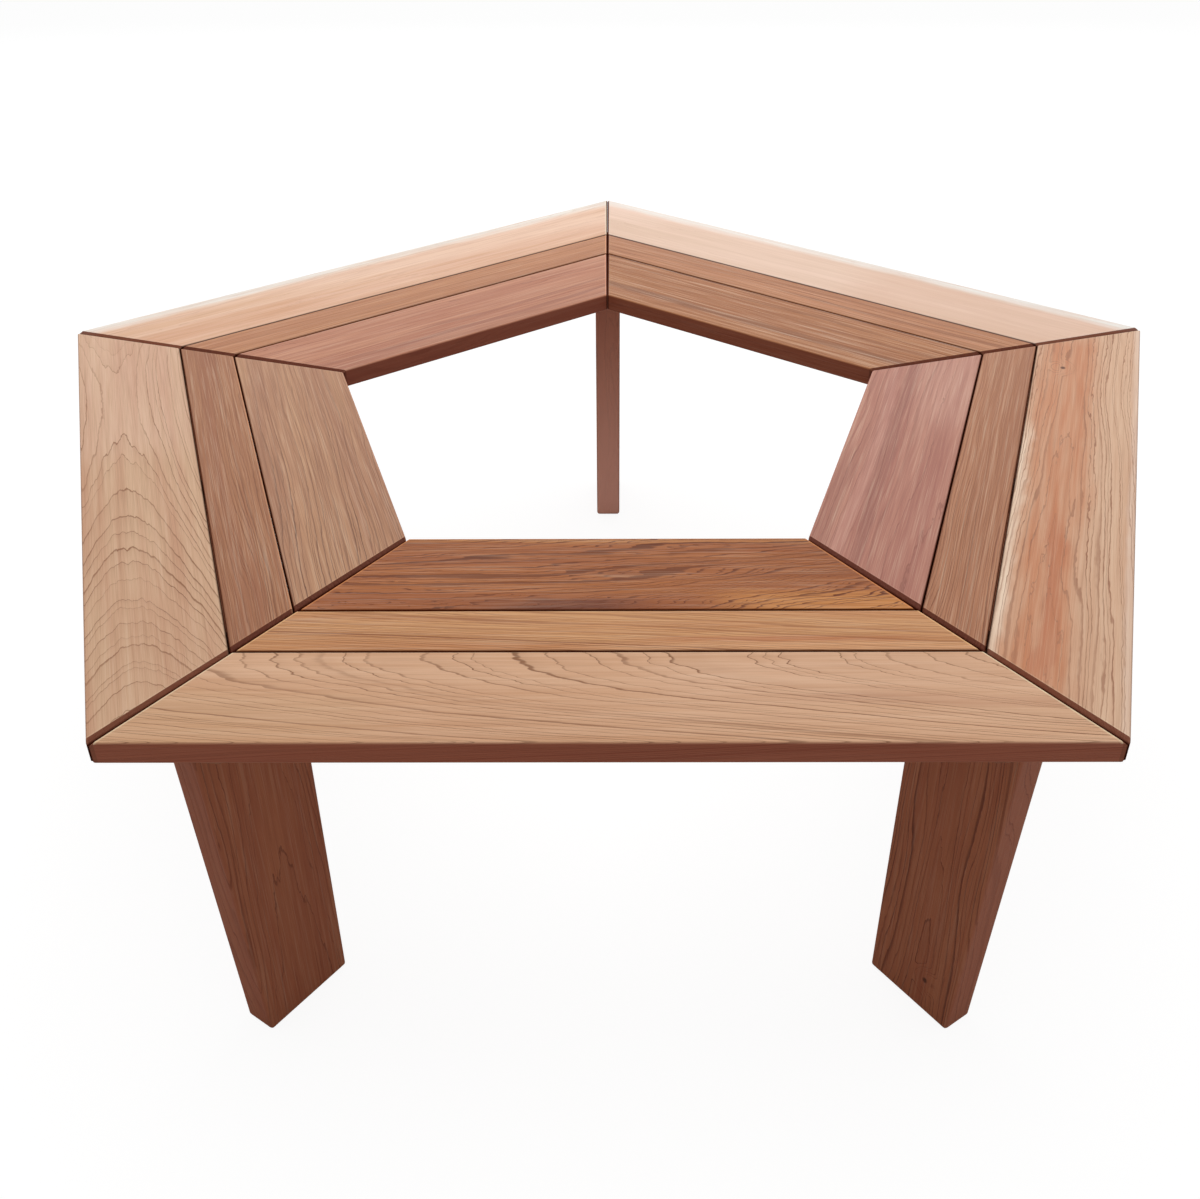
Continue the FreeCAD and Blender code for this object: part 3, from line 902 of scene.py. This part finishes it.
SEAT_WOODS: dict[tuple[Section, Strip], Wood] = {
    (Section.REAR_LEFT, Strip.OUTER): Wood(
        light=(244, 205, 179), dark=(191, 140, 109), tint=(230, 183, 149), contrast=0.35,
        rings=Rings(spacing=4.2, heart_across=-15, heart_depth=110, climb=0.02),
        streaks=(Streak((223, 166, 132), across=-44, width=90),
                 Streak((215, 156, 116), across=-22, width=50, start=90, end=800, strength=0.7),
                 Streak((218, 160, 119), across=-8, width=20, start=-20, end=380, strength=0.4),
                 # painted highlight: this near-white streak along the rim is the glare of the light from behind on the
                 # far edge
                 Streak((252, 252, 246), across=64, width=62, strength=0.9, wander=2)),
    ),
    (Section.REAR_LEFT, Strip.MIDDLE): Wood(
        light=(201, 139, 96), dark=(143, 91, 61), tint=(185, 122, 83), contrast=0.5,
        rings=Rings(spacing=2.6, heart_across=80, heart_depth=60, climb=0.01),
        # painted shade: these two thin dark streaks darken the board's edges beside the gaps
        streaks=(Streak((100, 52, 28), across=-29, width=5, strength=0.8, wander=0.5, ripple=0.3),
                 Streak((128, 78, 52), across=30, width=4, strength=0.8, wander=0.5, ripple=0.3)),
    ),
    (Section.REAR_LEFT, Strip.INNER): Wood(
        light=(200, 138, 106), dark=(151, 92, 70), tint=(186, 121, 92), contrast=0.6,
        rings=Rings(spacing=4.0, heart_across=60, heart_depth=45, climb=0.012),
        streaks=(Streak((150, 92, 72), across=-34, width=12, strength=0.7, wander=8),
                 Streak((158, 100, 79), across=-14, width=10, start=-300, end=100, wander=8),
                 Streak((166, 107, 86), across=-46, width=34, strength=0.5)),
    ),
    (Section.REAR_RIGHT, Strip.OUTER): Wood(
        light=(245, 212, 191), dark=(210, 168, 140), tint=(232, 197, 172), contrast=0.25,
        rings=Rings(spacing=5.0, heart_depth=140, climb=0.02), fibre=0.3,
        streaks=(Streak((227, 185, 159), across=0, width=300, start=-900, end=-10, strength=0.75),
                 # painted highlight: this near-white streak along the rim is the glare of the light from behind on the
                 # far edge
                 Streak((252, 252, 247), across=64, width=62, strength=0.9, wander=2)),
    ),
    (Section.REAR_RIGHT, Strip.MIDDLE): Wood(
        light=(195, 132, 91), dark=(141, 87, 57), tint=(179, 118, 78), contrast=0.5,
        rings=Rings(spacing=2.8, heart_across=-90, heart_depth=50, climb=0.012),
        streaks=(Streak((151, 94, 62), across=-4, width=12, end=40, strength=0.7, wander=5),
                 Streak((161, 104, 72), across=14, width=8, start=-300, end=200, wander=4),
                 # painted shade: a thin dark streak along the edge beside the gap
                 Streak((126, 74, 50), across=29, width=5, strength=0.8, wander=0.5, ripple=0.3)),
    ),
    (Section.REAR_RIGHT, Strip.INNER): Wood(
        light=(180, 118, 72), dark=(125, 70, 39), tint=(169, 105, 60), contrast=0.6, fibre=0.9,
        rings=Rings(spacing=3.6, heart_across=70, heart_depth=70, climb=0.015),
        streaks=(Streak((136, 85, 55), across=-27, width=20, strength=0.85, wander=3),
                 Streak((152, 97, 65), across=10, width=10, start=-300, end=20, strength=0.5, wander=8),
                 Streak((152, 99, 69), across=34, width=10, start=-200, end=140, strength=0.4, wander=8),
                 # painted shade: a thin dark streak along the edge beside the gap
                 Streak((84, 36, 14), across=58, width=6, strength=0.9, wander=0.5, ripple=0.3)),
    ),
    (Section.LEFT, Strip.OUTER): Wood(
        light=(217, 177, 143), dark=(144, 95, 63), tint=(205, 156, 124), contrast=1.0, contrast_slope=0.5,
        rings=Rings(spacing=3.0, heart_across=17, heart_depth=115, climb=-0.06, bend=-0.00015,
                    jag=0.55, wander=3, line=1.2, late=0.07), fibre=0.45, hair=0.3,
        streaks=(Streak((230, 188, 163), across=5, width=260, start=-900, end=-20, strength=0.5),),
    ),
    (Section.LEFT, Strip.MIDDLE): Wood(
        light=(175, 119, 82), dark=(124, 76, 51), tint=(161, 102, 69), contrast=0.6, contrast_slope=0.3,
        rings=Rings(spacing=2.6, heart_across=-70, heart_depth=40, climb=0.012),
    ),
    (Section.LEFT, Strip.INNER): Wood(
        light=(192, 142, 106), dark=(115, 79, 60), tint=(175, 123, 92), contrast=0.6, contrast_slope=0.3,
        rings=Rings(spacing=3.0, heart_across=100, heart_depth=60, climb=0.012, wander=6),
    ),
    (Section.RIGHT, Strip.OUTER): Wood(
        light=(228, 188, 156), dark=(161, 110, 83), tint=(219, 173, 140), contrast=0.85, fibre=0.5,
        rings=Rings(spacing=3.6, heart_across=-14, heart_depth=30, climb=0.014, jag=1.5, wander=7),
        streaks=(Streak((201, 121, 76), across=-20, width=86, start=-800, end=420, strength=0.85, ripple=3, wander=6),
                 Streak((186, 98, 57), across=-16, width=26, start=-420, end=-40, ripple=3),
                 Streak((252, 225, 199), across=-62, width=36, start=-700, end=150, strength=1.0, wander=3, ripple=4),
                 Streak((245, 220, 201), across=60, width=22, wander=3)),
        knots=(Knot(270, -27),),
    ),
    (Section.RIGHT, Strip.MIDDLE): Wood(
        light=(186, 127, 92), dark=(131, 80, 54), tint=(172, 114, 81), contrast=0.65, contrast_slope=-0.3,
        rings=Rings(spacing=2.8, heart_across=90, heart_depth=40, climb=0.01),
    ),
    (Section.RIGHT, Strip.INNER): Wood(
        light=(193, 134, 114), dark=(136, 84, 72), tint=(177, 115, 98), contrast=0.5,
        rings=Rings(spacing=6.0, heart_across=60, heart_depth=60, climb=0.02),
        streaks=(Streak((157, 101, 85), across=-52, width=34, end=40),
                 Streak((205, 149, 132), across=-29, width=22, wander=5),
                 Streak((155, 99, 85), across=-13, width=18, strength=0.7, wander=5),
                 Streak((213, 162, 144), across=30, width=90, start=40, strength=0.5)),
    ),
    (Section.FRONT, Strip.OUTER): Wood(
        light=(227, 180, 144), dark=(145, 98, 66), tint=(214, 162, 123), side=(172, 84, 64), contrast=1.0,
        rings=Rings(spacing=1.9, heart_across=-57, heart_depth=200, lean=-0.02, climb=-0.064,
                    jag=0.33, wander=2.5, line=0.75, late=0.12), fibre=0.4, hair=0.2,
        streaks=(Streak((233, 188, 155), across=-26, width=90, start=0, end=800, strength=0.55),
                 Streak((197, 143, 111), across=7, width=24, start=110, end=800, strength=0.5),
                 Streak((207, 163, 119), across=30, width=90, start=-800, end=-150, strength=0.4)),
    ),
    (Section.FRONT, Strip.MIDDLE): Wood(
        light=(214, 156, 104), dark=(152, 95, 57), tint=(199, 134, 84), contrast=0.85,
        rings=Rings(spacing=2.4, heart_across=-60, heart_depth=50, climb=-0.06, jag=0.8, wander=4, line=1.9),
        streaks=(Streak((229, 170, 123), across=25, width=22, start=-70, strength=0.8, wander=3),
                 Streak((223, 168, 117), across=-8, width=30, start=110, strength=0.7, wander=4),
                 Streak((189, 106, 61), across=13, width=12, start=0, end=320, wander=3),
                 Streak((176, 112, 68), across=-14, width=16, start=-320, end=-20, ripple=3)),
    ),
    (Section.FRONT, Strip.INNER): Wood(
        light=(177, 104, 49), dark=(108, 52, 22), tint=(159, 86, 37), contrast=1.0, fibre=0.5,
        rings=Rings(spacing=1.8, heart_across=130, heart_depth=250, lean=0.128, climb=-0.12, bend=-0.00018,
                    jag=1.1, wander=18, line=1.6, late=0.2),
        streaks=(Streak((98, 42, 21), across=53, width=26, start=-150, end=70, strength=0.95, wander=4, ripple=3),
                 Streak((221, 149, 76), across=50, width=46, start=70, strength=0.9, wander=5, ripple=3),
                 Streak((202, 137, 79), across=-58, width=20, strength=0.7, wander=3),
                 Streak((116, 59, 30), across=2, width=12, start=-40, end=90, strength=0.7, ripple=3)),
    ),
}

LEG_WOOD = Wood(
    light=(184, 112, 78), dark=(120, 64, 44), tint=(172, 98, 68), edge=(250, 235, 230), side=(176, 108, 84),
    contrast=0.9, fibre=0.28, hair=1.0,
    rings=Rings(spacing=4.2, heart_across=-5, heart_depth=60, climb=0.03, wander=12),
)
LEG_WOODS: dict[Corner, Wood] = {
    **dict.fromkeys(Corner, LEG_WOOD),
    # painted light on the rear leg's inner edge, paler towards its foot
    Corner.REAR: replace(LEG_WOOD, painted_foot_light=(252, 190, 170)),
    Corner.FRONT_LEFT: replace(LEG_WOOD, side=(160, 92, 66)),
    Corner.FRONT_RIGHT: replace(LEG_WOOD, knots=(Knot(-170, 8),)),
}


@dataclass
class Seat:
    """The seat: five sections of three mitred boards."""

    plan: Plan
    woods: dict[tuple[Section, Strip], Wood]
    arris: float = 0.002
    chamfer: float = 0.0045
    rear_chamfer: float = 0.0024
    rear_closing: float = 0.0004  # how much longer the boards are at the rear corner, where they nearly touch
    inner_end: Colour = (92, 44, 27)  # the end grain's colour towards the tree
    pieces: list[bpy.types.Object] = field(default_factory=list)

    def board(self, section: Section, strip: Strip, seed: int) -> bpy.types.Object:
        """Make one board.

        Its ends lie on the mitres: each point's place along the board grows with its distance from the tree's
        axis, in step with half the section's length there.

        Args:
            section: The section that it belongs to.
            strip: Its place in the section.
            seed: Makes its grain its own.

        Returns:
            The finished board.
        """
        inner, outer = self.plan.edges(strip)
        middle = self.plan.half_length((inner + outer) / 2)
        name = f"{section.label}_{strip.value}_board"
        chamfers = {
            Section.REAR_LEFT: (self.rear_chamfer, self.chamfer),
            Section.REAR_RIGHT: (self.chamfer, self.rear_chamfer),
        }.get(section, (self.chamfer, self.chamfer))
        # the sides that meet a neighbouring board get painted shade in their gap
        gap_shade_sides = (float(strip is not Strip.INNER), float(strip is not Strip.OUTER))
        plank = Plank(name, (inner, -middle, self.plan.underside), (outer, middle, self.plan.seat_height),
                      self.arris, chamfers, gap_shade_sides, *self.painted_highlight_edges(section, strip))
        low_end, high_end = (self.rear_closing * (size == self.rear_chamfer) for size in chamfers)

        def mitre(points: np.ndarray) -> np.ndarray:
            """Stretch the box along the board.

            Run * half length here / half length at the board's middle, plus, at the rear corner, the closing of its
            gap * run / half length at the middle.

            Args:
                points: Points (n, 3) in across, along and up.

            Returns:
                The points in the board's outline.
            """
            stretched = points.copy()
            stretched[:, 1] *= self.plan.half_length(points[:, 0]) / middle
            stretched[:, 1] += np.where(points[:, 1] > 0, high_end, low_end) * points[:, 1] / middle
            return stretched

        wood = self.woods[section, strip]
        if strip is not Strip.OUTER:
            wood = replace(wood, end=self.inner_end)
        material = wood.material(f"{name}_cedar", seed, middle / MILLIMETRE)
        return stand(plank.mesh(mitre, section.axes), material, [name])

    @staticmethod
    def painted_highlight_edges(section: Section, strip: Strip) -> tuple[tuple[float, float], tuple[float, float]]:
        """Find the edges that get a painted highlight.

        Args:
            section: The section.
            strip: The board's place in it.

        Returns:
            The painted highlight on the inner and outer arris, and then on the edges at the clockwise and the other
            end.
        """
        inner = {Section.LEFT: 1.0 if strip is Strip.MIDDLE else 0.35, Section.FRONT: 0.5}.get(section, 0.25)
        ends = {Section.FRONT: (0.9, 1.0), Section.REAR_LEFT: (0.8, 0.0)}.get(section, (0.2, 0.2))
        return (inner, 0.1), ends

    def build(self) -> None:
        """Make all the boards."""
        self.pieces = [self.board(section, strip, number) for number, (section, strip) in enumerate(self.woods)]


@dataclass
class Legs:
    """Five planks on edge, upright on the tree's side and sloping in towards the foot outside."""

    plan: Plan
    woods: dict[Corner, Wood]
    thickness: float = 0.036
    setback: float = 0.078
    top_width: float = 0.127
    foot_width: float = 0.107
    arris: float = 0.004
    first_seed: int = 100
    pieces: list[bpy.types.Object] = field(default_factory=list)

    @property
    def inner_edge(self) -> float:
        """Distance from the tree's axis to the legs' inner edge."""
        return self.plan.corner_radius - self.setback - self.top_width

    def leg(self, corner: Corner, seed: int) -> bpy.types.Object:
        """Make one leg.

        Args:
            corner: The corner that it stands under.
            seed: Makes its grain its own.

        Returns:
            The finished leg.
        """
        name = f"leg_{corner.label}"
        top, inner, half = self.plan.underside, self.inner_edge, self.thickness / 2
        plank = Plank(name, (inner, 0.0, -half), (inner + self.top_width, top, half), self.arris)

        def taper(points: np.ndarray) -> np.ndarray:
            """Narrow the plank towards its foot.

            Distance from the inner edge * the width at that height / the width at the top.

            Args:
                points: Points (n, 3) in across, along and up.

            Returns:
                The points in the leg's outline.
            """
            width = self.foot_width + (self.top_width - self.foot_width) * points[:, 1] / top
            narrowed = points.copy()
            narrowed[:, 0] = inner + (points[:, 0] - inner) * width / self.top_width
            return narrowed

        outward, sideways, upward = corner.axes
        material = self.woods[corner].material(f"{name}_cedar", seed, top / 2 / MILLIMETRE)
        mesh = plank.mesh(taper, np.array([outward, upward, sideways]))
        return stand(mesh, material, [name])

    def build(self) -> None:
        """Make all the legs."""
        self.pieces = [self.leg(corner, seed) for seed, corner in enumerate(Corner, self.first_seed)]


@dataclass(frozen=True)
class Underframe:
    """The cleats and battens that hold the boards, which keep the frame's own shapes."""

    wood: Wood = Wood(light=(178, 120, 90), dark=(120, 72, 52), tint=(160, 100, 74), edge=(225, 205, 195),
                      rings=Rings(heart_across=20, heart_depth=60, climb=0.03))
    half_length: float = 150.0  # a cleat's or batten's, in millimetres
    first_seed: int = 200

    def build(self) -> None:
        """Dress each cleat and batten with its grain along its length."""
        turns = {f"{section.label}_centre_batten": section.value for section in Section}
        for corner in Corner:
            turns |= {f"{section.label}_cleat_at_{corner.label}_leg": corner.value for section in Section}
        for seed, (name, node) in enumerate(sorted(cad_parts.items()), self.first_seed):
            if name in turns:
                dress(node, self.wood.material(f"{name}_cedar", seed, self.half_length, turns[name]))


@dataclass(frozen=True)
class Steel:
    """Plain stainless steel with the fine rings that turning leaves."""

    colour: Colour = (196, 195, 192)
    shade: Colour = (158, 157, 156)
    roughness: float = 0.3
    unevenness: float = 0.2  # of the roughness
    mark: float = 0.12  # millimetres from one turning mark to the next
    cloud: float = 2.5  # millimetres from one soft patch to the next
    depth: float = 0.00002

    def material(self, name: str, turned: bool = True) -> bpy.types.Material:
        """Polish the steel.

        Args:
            name: The material's name.
            turned: Whether the marks follow a turned piece's attribute "turning"; if not, they run in all
                directions.

        Returns:
            The finish.
        """
        recipe = Recipe(name)
        place = recipe.in_millimetres(recipe.attribute("turning", "Vector") if turned else recipe.object_place())
        fine, broad = (
            Field(recipe.node("TexNoise", {"Vector": place, "Scale": 1 / size}).outputs["Fac"])
            for size in (self.mark, self.cloud))
        colour = recipe.blended(((broad - 0.5) * 2.5 + 0.5).clamped(), self.colour, self.shade)
        roughness = (fine - 0.5) * self.unevenness + (broad - 0.5) * self.unevenness + self.roughness
        return recipe.finish({"Base Color": colour, "Roughness": roughness, "Metallic": 1.0}, fine, self.depth)


@dataclass(frozen=True)
class Turning:
    """A shape turned round an axis: rows of place along the axis and radius, in metres."""

    rows: np.ndarray
    hollow: bool = False  # a ring, whose last row joins its first
    flats: float = 0.0  # distance across six flats that cut it, or 0 for none
    sides: int = 36

    def points(self) -> np.ndarray:
        """Sweep the rows round.

        The radius at an angle is the row's own, or the hexagon's where that is less: half the distance across the
        flats divided by the cosine of the angle from the nearest flat's middle.

        Returns:
            Points (rows * sides, 3): place along the axis, and the two parts of the radius.
        """
        angles = np.arange(self.sides) / self.sides * 2 * math.pi
        radii = np.repeat(self.rows[:, 1:], self.sides, axis=1)
        if self.flats:
            sixth = math.pi / 3
            from_flat = (angles + sixth / 2) % sixth - sixth / 2
            radii = np.minimum(radii, self.flats / 2 / np.cos(from_flat))
        places = np.repeat(self.rows[:, :1], self.sides, axis=1)
        return np.stack([places, radii * np.cos(angles), radii * np.sin(angles)], axis=-1).reshape(-1, 3)

    def faces(self) -> list[list[int]]:
        """Join each row to the next, and close the ends or the ring."""
        return tube_faces(len(self.rows), self.sides, ring=self.hollow, flipped=True)


@dataclass
class Fasteners:
    """Two coach bolts through each leg and its two cleats, with washers and nuts, and the seat's screws."""

    steel: Steel = Steel()
    distances: tuple[float, float] = (0.541, 0.596)  # from the tree's axis
    height: float = 0.4105
    half_stack: float = 0.050  # half a leg and a cleat
    shank: float = 0.004
    head: tuple[float, float] = (0.0103, 0.0046)  # radius and height
    crown: float = 0.06  # share of the head's radius that is flat
    washer: tuple[float, float] = (0.012, 0.002)  # radius and thickness
    nut: tuple[float, float] = (0.013, 0.0065)  # across flats and height
    bevels: tuple[float, float] = (0.0003, 0.0011)  # of the washer and of the nut
    tail: float = 0.003  # what shows beyond the nut
    tip: float = 0.7  # share of the shank's radius at the tail's end
    pitch: float = 0.00125
    thread: float = 0.0005  # depth
    crease: float = 35.0  # edges that turn by more than this stay sharp, in degrees
    pieces: list[bpy.types.Object] = field(default_factory=list)

    def bolt(self) -> Turning:
        """Shape a bolt: a threaded tail, a plain shank and a domed head, which is half an ellipse."""
        seat = -self.half_stack - self.washer[1]
        end = seat - self.nut[1] - self.tail
        radius, rise = self.head
        places = np.arange(end + self.pitch, seat, self.pitch / 2)
        crests = np.where(np.arange(len(places)) % 2, self.shank, self.shank - self.thread)
        turn = np.linspace(0, math.pi / 2, 10)[:-1]
        dome = np.stack([self.half_stack + rise * np.sin(turn), radius * np.cos(turn)], axis=1)
        return Turning(np.array([
            (end, self.tip * self.shank), *np.stack([places, crests], axis=1),
            (seat, self.shank), (self.half_stack, self.shank), *dome, (self.half_stack + rise, radius * self.crown),
        ]))

    def ring(self, start: float, height: float, outside: float, bevel: float, flats: float = 0.0) -> Turning:
        """Shape a washer or a nut.

        Args:
            start: Place of the face against the stack.
            height: Its height, away from the stack.
            outside: Its greatest radius.
            bevel: The bevel of its outer corners.
            flats: Distance across a nut's flats, or 0.

        Returns:
            The ring, bored to the shank.
        """
        end = start - height
        slope = bevel * 0.6
        return Turning(np.array([
            (start, self.shank), (end, self.shank), (end, outside - bevel), (end + slope, outside),
            (start - slope, outside), (start, outside - bevel),
        ]), hollow=True, flats=flats)

    def set_out(self, name: str, turning: Turning) -> bpy.types.Object:
        """Put one shape at all ten bolt places.

        Args:
            name: The node that holds the ten.
            turning: The shape, with its axis along the direction round the tree.

        Returns:
            The finished piece.
        """
        shape, shape_faces = turning.points(), turning.faces()
        places, faces = [], []
        for corner in Corner:
            for distance in self.distances:
                start = len(places) * len(shape)
                faces += [[start + index for index in face] for face in shape_faces]
                places.append((shape[:, [2, 0, 1]] + (distance, 0.0, self.height)) @ corner.axes)
        turned = np.stack([np.hypot(shape[:, 1], shape[:, 2]), shape[:, 0], np.zeros(len(shape))], axis=1)
        attributes = {"turning": np.tile(turned, (len(places), 1))}
        mesh = finished_mesh(name, np.concatenate(places), faces, self.crease, attributes)
        return stand(mesh, self.steel.material(f"{name}_steel"), [name])

    def build(self) -> None:
        """Make the bolts, washers and nuts, and give the screws, which keep their node, their steel."""
        start, (radius, thickness), (flats, height) = -self.half_stack, self.washer, self.nut
        nut_radius = flats / 2 / math.cos(math.pi / 6)
        shapes = {
            "leg_bolts": self.bolt(),
            "leg_bolt_washers": self.ring(start, thickness, radius, self.bevels[0]),
            "leg_bolt_nuts": self.ring(start - thickness, height, nut_radius, self.bevels[1], flats),
        }
        self.pieces = [self.set_out(name, turning) for name, turning in shapes.items()]
        dress(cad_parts["seat_screws"], self.steel.material("seat_screws_steel", turned=False))


# Floor, light and camera


@dataclass(frozen=True)
class Lamp:
    """A soft rectangular lamp, in metres."""

    place: Vector
    target: Vector  # what it faces
    size: tuple[float, float]
    radiance: float  # how bright its face is, where 1 is white

    @property
    def power(self) -> float:
        """Its power: radiance * area * pi."""
        return self.radiance * self.size[0] * self.size[1] * math.pi


@dataclass(frozen=True)
class Studio:
    """The floor, the soft light and the camera."""

    floor_half: float = 8.0
    floor_drop: float = 0.0001  # keeps the floor just clear of the feet's own faces
    papers: tuple[Colour, Colour] = ((206, 204, 202), (214, 212, 210))  # the floor in the light that it throws back
    speckle: float = 3.0  # patches of the second paper in a metre
    floor_grey: float = 0.16  # how much of the bench's shadow the camera sees on the floor
    floor_glow: float = 0.91
    sky: float = 0.38  # strength of the sky's light; seen, or mirrored, it is white
    lamps: tuple[tuple[str, Lamp], ...] = (
        ("overhead", Lamp((0.0, 0.6, 3.2), (0.0, 0.0, 0.4), (3.6, 3.6), 1.25)),
        ("behind", Lamp((0.0, 3.4, 1.7), (0.0, 0.0, 0.5), (4.5, 2.2), 1.2)),
    )
    eye: Vector = (0.0031, -1.4060, 1.1744)
    pitch: float = 0.6127  # downward, in radians, as are the next two
    roll: float = -0.0071
    yaw: float = -0.0092
    focal_length: float = 1374.5 / 1200  # for a picture 1 wide
    sensor: float = 36.0  # in millimetres

    @staticmethod
    def _put(name: str, data: bpy.types.ID, *columns: np.ndarray) -> bpy.types.Object:
        """Put something in the scene.

        Args:
            name: Its name.
            data: Its mesh, lamp or camera.
            columns: The directions of its right, its top and its back, and its place.

        Returns:
            Its object.
        """
        thing = bpy.data.objects.new(name, data)
        bpy.context.scene.collection.objects.link(thing)
        rows = np.eye(4)
        rows[:3] = np.stack(columns, axis=1)
        thing.matrix_world = Matrix(rows.tolist())
        return thing

    def floor(self) -> None:
        """Lay a pale floor: white to the camera, with the bench's soft shadow kept on it, and clear from below."""
        half, drop = self.floor_half, self.floor_drop
        mesh = bpy.data.meshes.new("floor")
        corners = [(-half, -half, -drop), (half, -half, -drop), (half, half, -drop), (-half, half, -drop)]
        mesh.from_pydata(corners, [], [(0, 1, 2, 3)])
        recipe = Recipe("floor_paper")
        recipe.tree.nodes.remove(recipe.shader)
        speckle = recipe.node("TexNoise", {"Vector": recipe.object_place(), "Scale": self.speckle})
        paper = recipe.blended(Field(speckle.outputs["Fac"]), *self.papers)
        plain = recipe.node("BsdfDiffuse", {"Color": paper})
        shadowed = recipe.node("BsdfDiffuse", {"Color": (self.floor_grey, self.floor_grey, self.floor_grey, 1.0)})
        glow = recipe.node("Emission", {"Strength": self.floor_glow})
        seen = recipe.node("AddShader", {0: shadowed.outputs[0], 1: glow.outputs[0]})
        by_camera = recipe.node("LightPath").outputs["Is Camera Ray"]
        above = recipe.node("MixShader", {0: by_camera, 1: plain.outputs[0], 2: seen.outputs[0]})
        from_below = recipe.node("NewGeometry").outputs["Backfacing"]
        clear = recipe.node("BsdfTransparent")
        surface = recipe.node("MixShader", {0: from_below, 1: above.outputs[0], 2: clear.outputs[0]})
        feed(recipe.tree.nodes["Material Output"].inputs["Surface"], surface.outputs[0])
        mesh.materials.append(recipe.material)
        ground = self._put("floor", mesh, *np.eye(3), np.zeros(3))

    def lights(self) -> None:
        """Hang the lamps and set the sky."""
        for name, lamp in self.lamps:
            light = bpy.data.lights.new(name, "AREA")
            light.shape = "RECTANGLE"
            light.size, light.size_y = lamp.size
            light.energy = lamp.power
            facing = np.array(lamp.place) - np.array(lamp.target)
            facing = facing / np.linalg.norm(facing)
            sideways = np.cross((0.0, 1.0, 0.0) if abs(facing[2]) > 0.9 else (0.0, 0.0, 1.0), facing)
            sideways = sideways / np.linalg.norm(sideways)
            self._put(name, light, sideways, np.cross(facing, sideways), facing, lamp.place)
        world = bpy.data.worlds.new("room")
        bpy.context.scene.world = world
        world.use_nodes = True
        background = world.node_tree.nodes["Background"]
        feed(background.inputs["Color"], (255, 255, 255))
        path = world.node_tree.nodes.new("ShaderNodeLightPath")
        seen = Field(path.outputs["Is Camera Ray"]).at_least(Field(path.outputs["Is Glossy Ray"]))
        feed(background.inputs["Strength"], seen * (1.0 - self.sky) + self.sky)

    def camera(self) -> None:
        """Set the camera where the photograph was taken from: above the front, looking down at the seat."""
        pitch, roll, yaw = self.pitch, self.roll, self.yaw
        forward = np.array([math.sin(yaw) * math.cos(pitch), math.cos(yaw) * math.cos(pitch), -math.sin(pitch)])
        level = np.array([math.cos(yaw), -math.sin(yaw), 0.0])
        upright = np.cross(level, forward)
        right = math.cos(roll) * level + math.sin(roll) * upright
        above = math.cos(roll) * upright - math.sin(roll) * level
        lens = bpy.data.cameras.new("camera")
        lens.sensor_fit = "HORIZONTAL"
        lens.sensor_width = self.sensor
        lens.lens = self.focal_length * self.sensor
        bpy.context.scene.camera = self._put("camera", lens, right, above, -forward, self.eye)

    def build(self) -> None:
        """Set the whole studio up."""
        self.floor()
        self.lights()
        self.camera()
        bpy.context.scene.view_settings.view_transform = "Standard"


def main() -> None:
    """Build the bench piece by piece."""
    logging.basicConfig(level=logging.INFO, format="%(message)s")
    plan = Plan()
    for part in (Seat(plan, SEAT_WOODS), Legs(plan, LEG_WOODS), Fasteners()):
        part.build()
        for piece in part.pieces:
            log.info("%s: %d faces", piece.name, len(piece.data.polygons))
    Underframe().build()
    Studio().build()


if __name__ == "__main__":
    main()
